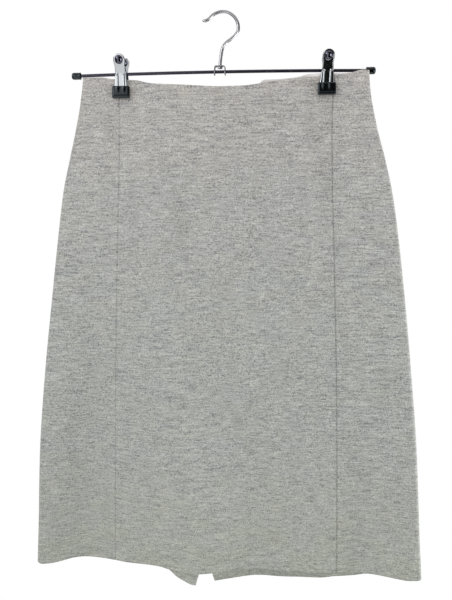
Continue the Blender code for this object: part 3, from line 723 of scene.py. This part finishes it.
def make_bracket(finish):
    """A strip bent to an upside-down U, its ears a little splayed and rounded at their ends."""
    half = BRACKET_WIDTH / 2 - PLATE / 2
    top = BRACKET_TOP - PLATE / 2
    bend = BRACKET_BEND
    turns = [pi / 2 * i / BEND_STEPS for i in range(1, BEND_STEPS)]
    left = [(-half - BRACKET_SPLAY, BRACKET_LOW), (-half, top - bend)]
    left += [(-half + bend - bend * cos(turn), top - bend + bend * sin(turn)) for turn in turns]
    left.append((-half + bend, top))
    right = [(-across, height) for across, height in reversed(left)]
    route = smooth_route(left + right, STRIP_STEP)

    def place(along, aside):
        across, height = route[round(along * (len(route) - 1))]
        above = height - BRACKET_LOW
        deep = BRACKET_DEPTH * sqrt(min(1.0, EAR_END + above / EAR_ROUND))
        return Vector((BRACKET_MIDDLE + across, (aside - 0.5) * deep, height))

    bm = moved_grid(len(route) - 1, STRIP_ROWS, place)
    bmesh.ops.recalc_face_normals(bm, faces=bm.faces)
    piece = add_piece("bracket", bm, finish, "hook_bracket", sharp=None)
    give_wall(piece, PLATE, PLATE_EDGE, offset=0.0)


# ---- Clips -------------------------------------------------------------------


def jaw_half(height):
    """Half the jaw's width: round at the head, and by its table below."""
    above = height - HEAD_HEIGHT
    if above > 0.0:
        return sqrt(max(HEAD_RADIUS ** 2 - above ** 2, 0.0))
    return JAW_LINE["half"](height)


def jaw_relief(across, height):
    """What is pressed into the jaw: the round boss in its head and two long ribs."""
    share = 1.0 - (across ** 2 + (height - HEAD_HEIGHT) ** 2) / DOME_RADIUS ** 2
    boss = DOME_RISE * sqrt(share) if share > 0.0 else 0.0
    ribs = sum(bell(across - side * RIB_ACROSS, RIB_HALF) for side in (-1, 1))
    return boss + RIB_RISE * ribs * (1.0 - smooth_step(RIB_TOP - RIB_FADE, RIB_TOP, height))


def lean_shift(lean, height):
    """How far to the right a leaning jaw has come at a height from the bar's middle."""
    return tan(lean) * max(height - LEAN_START, 0.0)


def make_jaw(clip, side, word, lean, finish, boss_finish):
    """A stamped jaw: a plate with rolled edges, from its round head to the tongue in the boot."""
    pivot = bar_height(clip.across)
    foot = JAW[-1].height

    def place(aside, down):
        if down < HEAD_ROWS:     # the first row stops just short of the head's very top
            height = HEAD_HEIGHT + HEAD_RADIUS * cos(pi / 2 * (0.03 + 0.97 * down / HEAD_ROWS))
        else:
            height = HEAD_HEIGHT + (foot - HEAD_HEIGHT) * (down - HEAD_ROWS) / (1 - HEAD_ROWS)
        spread = 2.0 * aside - 1.0
        half = jaw_half(height)
        core = min(JAW_CORE, 0.8 * half)     # narrower round the head
        beside_core = max(0.0, (abs(spread) - CORE_SHARE) / (1.0 - CORE_SHARE))
        reach = core * min(abs(spread) / CORE_SHARE, 1.0) + (half - core) * beside_core
        across = reach if spread > 0.0 else -reach
        edge = max(0.0, (reach / half - 1.0 + JAW_EDGE) / JAW_EDGE)
        rolled = JAW_LINE["flange"](height) * edge ** 2
        out = JAW_LINE["stand"](min(height, JAW[0].height)) - rolled + jaw_relief(across, height)
        shift = clip.across + lean_shift(lean, height)
        return Vector((shift + across, side * out, pivot + height))

    bm = moved_grid(*JAW_GRID, place)
    if side > 0:
        bmesh.ops.reverse_faces(bm, faces=bm.faces)
    name = clip.name + "_" + word + "_jaw"
    piece = add_piece("chrome_" + name, bm, finish, name, sharp=None)
    piece.data.materials.append(boss_finish)
    for face in piece.data.polygons:
        height = face.center.z - pivot
        across = face.center.x - clip.across - lean_shift(lean, height)
        if hypot(across, height - HEAD_HEIGHT) < DOME_RADIUS:
            face.material_index = 1
    give_wall(piece, JAW_PLATE, PLATE_EDGE, offset=0.0)


def make_boot(clip, side, word, finish):
    """A dipped rubber boot: a soft box in which the jaw's ribs show through."""
    inner = LEVEL["fold"](BOOT_LOW) + CLOTH / 2 + BOOT_GAP
    near, far = sorted((side * inner, side * (inner + BOOT_DEPTH)))
    low = Vector((clip.across - BOOT_WIDTH / 2, near, BOOT_LOW))
    high = Vector((clip.across + BOOT_WIDTH / 2, far, BOOT_TOP))
    bm = bmesh.new()
    bmesh.ops.create_cube(bm, size=1.0)
    bmesh.ops.subdivide_edges(bm, edges=bm.edges[:], cuts=BOOT_CUTS, use_grid_fill=True)
    bmesh.ops.scale(bm, vec=high - low, verts=bm.verts)
    bmesh.ops.translate(bm, vec=(low + high) / 2, verts=bm.verts)
    for point in bm.verts:
        core = Vector([min(max(c, a + BOOT_ROUND), b - BOOT_ROUND)
                       for c, a, b in zip(point.co, low, high)])
        away = point.co - core
        if away.length > 0.0:
            point.co = core + away * (BOOT_ROUND / away.length)
        across = point.co.x - clip.across
        outer = smooth_step(BOOT_FACE, 1.0, abs(point.co.y - side * inner) / BOOT_DEPTH)
        ribs = sum(bell(across - s * RIB_ACROSS, BOOT_RIB_HALF) for s in (-1, 1))
        fade = smooth_step(BOOT_LOW + 0.004, BOOT_TOP - 0.001, point.co.z)
        lip = bell(point.co.z - BOOT_LOW - BOOT_LIP_UP, BOOT_LIP_HALF)
        point.co.y += side * outer * (BOOT_RIB_RISE * ribs * fade + BOOT_LIP_RISE * lip)
    bmesh.ops.recalc_face_normals(bm, faces=bm.faces)
    name = clip.name + "_" + word + "_boot"
    add_piece("rubber_" + name, bm, finish, name, sharp=None)


def make_spring(clip, finish):
    """A leaf spring bent over the bar, pressing its legs against both jaws."""
    pivot = bar_height(clip.across)
    turns = [pi - pi * i / SPRING_STEPS for i in range(SPRING_STEPS + 1)]
    line = [(-SPRING_RADIUS, -SPRING_LEG), (-SPRING_RADIUS, -SPRING_LEG / 2)]
    line += [(SPRING_RADIUS * cos(turn), SPRING_RADIUS * sin(turn)) for turn in turns]
    line += [(SPRING_RADIUS, -SPRING_LEG / 2), (SPRING_RADIUS, -SPRING_LEG)]

    def place(along, aside):
        depth, height = line[round(along * (len(line) - 1))]
        return Vector((clip.across + (aside - 0.5) * SPRING_WIDTH, depth, pivot + height))

    bm = moved_grid(len(line) - 1, SPRING_ROWS, place)
    bmesh.ops.recalc_face_normals(bm, faces=bm.faces)
    name = clip.name + "_spring"
    piece = add_piece("steel_" + name, bm, finish, name, sharp=None)
    give_wall(piece, SPRING_PLATE, SPRING_EDGE, offset=0.0)


# ---- Materials ---------------------------------------------------------------

INSIDE_PAINTED_LIGHT = 1.18           # painted light: how much paler the knit's inside is painted, to offset the shade between the layers
# a pale tape inside the waist, its colour raised to offset the shade between the layers, which is
# painted light
WAIST_TAPE_PAINTED_PALER = (0.82, 0.785, 0.775, 1.0)


class Value:
    """A number or colour that a node gives. Arithmetic on a number adds Math nodes."""

    def __init__(self, finish, socket):
        self.finish = finish
        self.socket = socket

    def maths(self, operation, first, second):
        """One Math node."""
        return self.finish.node("Math", {"operation": operation}, {0: first, 1: second})

    def __add__(self, other):
        return self.maths("ADD", self, other)

    def __radd__(self, other):
        return self.maths("ADD", other, self)

    def __sub__(self, other):
        return self.maths("SUBTRACT", self, other)

    def __rsub__(self, other):
        return self.maths("SUBTRACT", other, self)

    def __mul__(self, other):
        return self.maths("MULTIPLY", self, other)

    def __rmul__(self, other):
        return self.maths("MULTIPLY", other, self)


class Nodes:
    """A node tree whose nodes all come from one method."""

    def __init__(self, owner):
        owner.use_nodes = True
        self.tree = owner.node_tree

    def node(self, kind, settings=None, sockets=None, output=0):
        """Any node: its settings first, then the values or links of its sockets."""
        made = self.tree.nodes.new("ShaderNode" + kind)
        for key, value in (settings or {}).items():
            if key == "stops":
                self.set_stops(made.color_ramp, value)
            else:
                setattr(made, key, value)
        self.feed(made, sockets or {})
        return Value(self, made.outputs[output])

    def feed(self, node, sockets):
        """Set or link sockets of a node."""
        for key, value in sockets.items():
            if isinstance(value, Value):
                self.tree.links.new(value.socket, node.inputs[key])
            else:
                node.inputs[key].default_value = value

    def set_stops(self, ramp, stops):
        """Places and colours of a ramp, from low to high."""
        while len(ramp.elements) < len(stops):
            ramp.elements.new(0.5)
        for element, (place, colour) in zip(ramp.elements, stops):
            element.position = place
            element.color = (*colour, 1.0)

    def between(self, value, low, high, smooth=True):
        """0 to 1 as a value goes from low to high."""
        kind = "SMOOTHSTEP" if smooth else "LINEAR"
        return self.node("MapRange", {"interpolation_type": kind}, {0: value, 1: low, 2: high})

    def band(self, value, start, full, fade, end):
        """1 from full to fade, and 0 before start and after end."""
        return self.between(value, start, full) * (1.0 - self.between(value, fade, end))

    def mix(self, share, first, second):
        """Two colours mixed."""
        return self.node("Mix", {"data_type": "RGBA"}, {0: share, 6: first, 7: second}, 2)

    def times(self, first, second):
        """Two colours multiplied."""
        return self.node("Mix", {"data_type": "RGBA", "blend_type": "MULTIPLY"},
                         {0: 1.0, 6: first, 7: second}, 2)


class Finish(Nodes):
    """A material."""

    def __init__(self, name):
        self.material = bpy.data.materials.new(name)
        super().__init__(self.material)
        self.shader = self.tree.nodes["Principled BSDF"]

    def shade(self, **sockets):
        """Values or links on the surface shader, by name with underscores for spaces."""
        self.feed(self.shader, {key.replace("_", " "): value for key, value in sockets.items()})

    def place(self, scale):
        """Object coordinates, stretched."""
        where = self.node("TexCoord", output="Object")
        return self.node("Mapping", sockets={"Vector": where, "Scale": scale})

    def noise(self, scale, detail=2.0, roughness=0.5):
        """Noise on stretched coordinates: the larger a scale, the finer it is that way."""
        return self.node("TexNoise", {"noise_dimensions": "3D"},
                         {"Vector": self.place(scale), "Scale": 1.0, "Detail": detail,
                          "Roughness": roughness})

    def bump(self, height, distance, strength):
        """A normal that follows a height."""
        return self.node("Bump", sockets={"Height": height, "Distance": distance,
                                          "Strength": strength})


def height_of(finish):
    """The height of a point above the origin."""
    where = finish.node("TexCoord", output="Object")
    return finish.node("SeparateXYZ", sockets={0: where}, output="Z")


def knit_finish(name, brightness, waist_tape_painted_paler):
    """Melange knit: dark and light fibres drawn out sideways, over fine courses of loops.

    Its tint goes warm at the waist, with painted light, to faintly olive at the hem, with painted
    shade. A pale tape may line it.
    """
    knit = Finish(name)
    long_streaks = knit.noise((66.0, 66.0, 640.0))
    streaks = knit.noise((250.0, 250.0, 700.0), roughness=0.6)
    specks = knit.noise((760.0, 760.0, 740.0), roughness=0.6)
    clouds = knit.noise((42.0, 42.0, 60.0))
    height = height_of(knit)
    fibres = (long_streaks - 0.5) * 1.1 + (streaks - 0.5) * 0.9 + (specks - 0.5) * 2.0
    strength = 0.97 - 0.14 * knit.between(height, -0.50, -0.68)
    tone = 0.5 + fibres * strength + (clouds - 0.5) * 0.14
    colour = knit.node("ValToRGB", {"stops": (
        (0.08, (0.180, 0.184, 0.186)), (0.36, (0.345, 0.345, 0.338)),
        (0.60, (0.425, 0.423, 0.408)), (0.95, (0.590, 0.588, 0.560)))}, {"Fac": tone})
    # painted light and shade by height: a little lighter at the waist and darker towards the hem,
    # along with the warm to olive tint
    upper = knit.mix(knit.between(height, -0.08, -0.22, smooth=False),
                     (1.040, 1.0, 0.985, 1.0), (0.996, 1.0, 0.99, 1.0))
    lower = knit.mix(knit.between(height, -0.55, -0.73, smooth=False),
                     (0.961, 0.99, 0.965, 1.0), (0.951, 0.99, 0.905, 1.0))
    tint = knit.mix(knit.between(height, -0.20, -0.48, smooth=False), upper, lower)
    blotch = knit.mix(knit.between(knit.noise((30.0, 30.0, 42.0), detail=3.0), 0.35, 0.65),
                      (0.994, 0.997, 1.012, 1.0), (1.008, 1.002, 0.984, 1.0))
    # Painted shade: the seams and the hem's edge are darkened by up to 0.30, and the colour is
    # scaled by brightness, which paints the inside lighter
    seam = knit.node("Attribute", {"attribute_name": "seam"}, output="Fac")
    shade = brightness * (1.0 - seam * 0.30)
    knit_colour_and_painted_light = knit.times(knit.times(knit.times(colour, tint), blotch),
                      knit.node("CombineColor", sockets={0: shade, 1: shade, 2: shade}))
    if waist_tape_painted_paler:
        knit_colour_and_painted_light = knit.mix(knit.between(height, -0.094, -0.090), knit_colour_and_painted_light, waist_tape_painted_paler)
    loops = knit.node("TexVoronoi", {"feature": "F1"},
                      {"Vector": knit.place((1250.0, 1250.0, 1400.0)), "Scale": 1.0,
                       "Randomness": 0.35})
    relief = (1.0 - loops) * 0.6 + streaks * 0.7
    knit.shade(Base_Color=knit_colour_and_painted_light, Roughness=0.92 + (specks - 0.5) * 0.12,
               Normal=knit.bump(relief, 0.0004, 0.4), Specular_IOR_Level=0.15,
               Sheen_Weight=0.15, Sheen_Roughness=0.5)
    return knit.material


def chrome_finish(name, tint, roughness):
    """Plating with faint polishing marks, bright on the clips and duller on bent wire and strip."""
    chrome = Finish(name)
    wear = chrome.noise((900.0, 900.0, 240.0), detail=3.0)
    haze = chrome.noise((90.0, 90.0, 90.0))
    hazy = tuple(0.93 * part for part in tint)
    chrome.shade(Base_Color=chrome.mix(haze, (*hazy, 1.0), (*tint, 1.0)),
                 Metallic=1.0, Roughness=roughness + wear * 0.09,
                 Normal=chrome.bump(wear, 0.00003, 0.3))
    return chrome.material


def dark_steel_finish():
    """Dark nickel on drawn wire, with fine lines along it."""
    steel = Finish("dark_nickel_steel")
    lines = steel.noise((60.0, 1500.0, 1500.0), detail=3.0)
    steel.shade(Base_Color=steel.mix(lines, (0.062, 0.060, 0.085, 1.0), (0.14, 0.135, 0.17, 1.0)),
                Metallic=1.0, Roughness=0.16 + lines * 0.16,
                Normal=steel.bump(lines, 0.00003, 0.4))
    return steel.material


def rubber_finish():
    """Dipped black rubber, a little uneven in its gloss."""
    rubber = Finish("black_rubber")
    grain = rubber.noise((2200.0, 2200.0, 2200.0))
    patches = rubber.noise((300.0, 300.0, 300.0))
    rubber.shade(Base_Color=rubber.mix(patches, (0.0006, 0.0006, 0.0009, 1.0),
                                       (0.0018, 0.0020, 0.0026, 1.0)),
                 Roughness=0.10 + patches * 0.16, Normal=rubber.bump(grain, 0.00005, 0.25),
                 Specular_IOR_Level=0.9, Specular_Tint=(0.80, 0.93, 1.0, 1.0))
    return rubber.material


def floor_finish():
    """A matt white floor."""
    floor = Finish("pale_floor")
    mottle = floor.noise((6.0, 6.0, 6.0))
    floor.shade(Base_Color=floor.mix(mottle, (0.80, 0.80, 0.80, 1.0), (0.84, 0.84, 0.84, 1.0)),
                Roughness=0.8)
    return floor.material


# ---- Studio ------------------------------------------------------------------

FLOOR_HEIGHT = -1.15
FLOOR_RADIUS = 0.60
FILL = 0.615                 # what the white room gives to matt surfaces from all round
SIDE_FILL = 0.32             # what its sides add
LOW_FILL = 0.16              # and its floor
DARK = 0.006                 # what it gives to shiny surfaces from all round
WINDOW = 0.90                # and what they see in its window
LAMP = 3.5                   # in its lamp
WALLS = 0.14                 # on its side walls
CEILING = 0.55
FLOOR = 1.0

CAMERA_PLACE = (0.1000, -0.9916, -0.2700)
CAMERA_TILT = radians(85.0)
CAMERA_TURN = radians(5.5)
CAMERA_LENS = 46.87
SENSOR_WIDTH = 36.0
SKIRT_MIDDLE = Vector((0.0, 0.0, -0.40))


def add_floor():
    """A round pale floor below the skirt, which the main view does not reach."""
    bm = bmesh.new()
    bmesh.ops.create_circle(bm, cap_ends=True, segments=96, radius=FLOOR_RADIUS,
                            matrix=Matrix.Translation((0.0, 0.1, FLOOR_HEIGHT)))
    mesh = bpy.data.meshes.new("floor")
    bm.to_mesh(mesh)
    bm.free()
    mesh.materials.append(floor_finish())
    floor = bpy.data.objects.new("floor", mesh)
    SCENE.collection.objects.link(floor)


def add_light(name, place, size, power, mirrored=False):
    """A square soft light that faces the skirt, mirrored in shiny surfaces or not."""
    lamp = bpy.data.lights.new(name, "AREA")
    lamp.size = size
    lamp.energy = power
    light = bpy.data.objects.new(name, lamp)
    SCENE.collection.objects.link(light)
    light.visible_glossy = mirrored
    light.location = place
    aim = SKIRT_MIDDLE - Vector(place)
    light.rotation_euler = aim.to_track_quat("-Z", "Y").to_euler()


def light_room():
    """A white room, pure white to the eye, that matt and bright surfaces see differently.

    To matt ones its sides and floor are brighter than its front. Shiny ones see dark walls, a
    tall window on the left of the camera, a low lamp on its right, the floor and the ceiling.
    """
    world = bpy.data.worlds.new("white_room")
    SCENE.world = world
    room = Nodes(world)
    where = room.node("TexCoord", output="Generated")
    across = room.node("SeparateXYZ", sockets={0: where}, output="X")
    up = room.node("SeparateXYZ", sockets={0: where}, output="Z")
    matt = FILL + SIDE_FILL * across * across + LOW_FILL * room.between(up, 0.0, -0.8)
    aside = room.node("Math", {"operation": "ABSOLUTE"}, {0: across})
    tall_window = room.band(across, -0.10, -0.17, -0.50, -0.62)
    lamp = room.band(across, 0.44, 0.50, 0.72, 0.80)
    low_only = room.band(up, -0.68, -0.60, -0.12, -0.04)
    level = 1.0 - room.between(up, 0.30, 0.42)
    dim_below = 0.78 + 0.22 * room.between(up, -0.60, 0.0)
    shiny = (DARK + WALLS * room.between(aside, 0.62, 0.80)
             + CEILING * room.between(up, 0.45, 0.70) + WINDOW * tall_window * level * dim_below
             + LAMP * lamp * low_only + FLOOR * room.between(up, -0.93, -0.975))
    seen_by_matt = room.node("LightPath", output="Is Diffuse Ray")
    seen_by_shiny = room.node("LightPath", output="Is Glossy Ray")
    strength = 1.0 + seen_by_matt * (matt - 1.0) + seen_by_shiny * (shiny - 1.0)
    room.feed(room.tree.nodes["Background"], {"Color": (1.0, 1.0, 1.0, 1.0),
                                              "Strength": strength})


def place_camera():
    """The camera, a little above the skirt's middle and to its right."""
    lens = bpy.data.cameras.new("camera")
    lens.lens = CAMERA_LENS
    lens.sensor_width = SENSOR_WIDTH
    camera = bpy.data.objects.new("camera", lens)
    SCENE.collection.objects.link(camera)
    camera.location = CAMERA_PLACE
    camera.rotation_euler = (CAMERA_TILT, 0.0, CAMERA_TURN)
    SCENE.camera = camera


# ---- Everything --------------------------------------------------------------


def main():
    """Camera, finishes, skirt, hanger, and the studio round them."""
    place_camera()
    knit = knit_finish("grey_melange_knit", 1.0, None)
    inside = knit_finish("grey_melange_knit_inside", INSIDE_PAINTED_LIGHT, WAIST_TAPE_PAINTED_PALER)
    chrome = chrome_finish("bright_chrome", (0.79, 0.83, 0.86), 0.04)
    dull_chrome = chrome_finish("dull_chrome", (0.74, 0.74, 0.77), 0.26)
    black_chrome = chrome_finish("black_chrome", (0.17, 0.17, 0.22), 0.05)
    steel = dark_steel_finish()
    rubber = rubber_finish()
    for cut in CUTS:
        make_panel(cut, knit, inside)
    make_bar(steel)
    make_cap(-1, "left", rubber)
    make_cap(1, "right", rubber)
    make_hook(dull_chrome)
    make_bracket(dull_chrome)
    for clip in CLIPS:
        for side, word, lean in ((-1, "front", clip.front_lean), (1, "back", clip.back_lean)):
            make_jaw(clip, side, word, lean, chrome, black_chrome)
            make_boot(clip, side, word, rubber)
        make_spring(clip, steel)
    add_floor()
    light_room()
    add_light("key", (-1.5, -1.3, 0.60), 1.1, 9.0, mirrored=True)
    add_light("top", (-0.3, -1.0, 0.45), 0.5, 2.2)
    add_light("low", (1.1, -1.3, -0.75), 0.7, 2.6)
    add_light("rim", (1.7, 0.25, -0.42), 0.8, 20.0)
    SCENE.view_settings.view_transform = "Standard"


main()
bpy.context.view_layer.update()
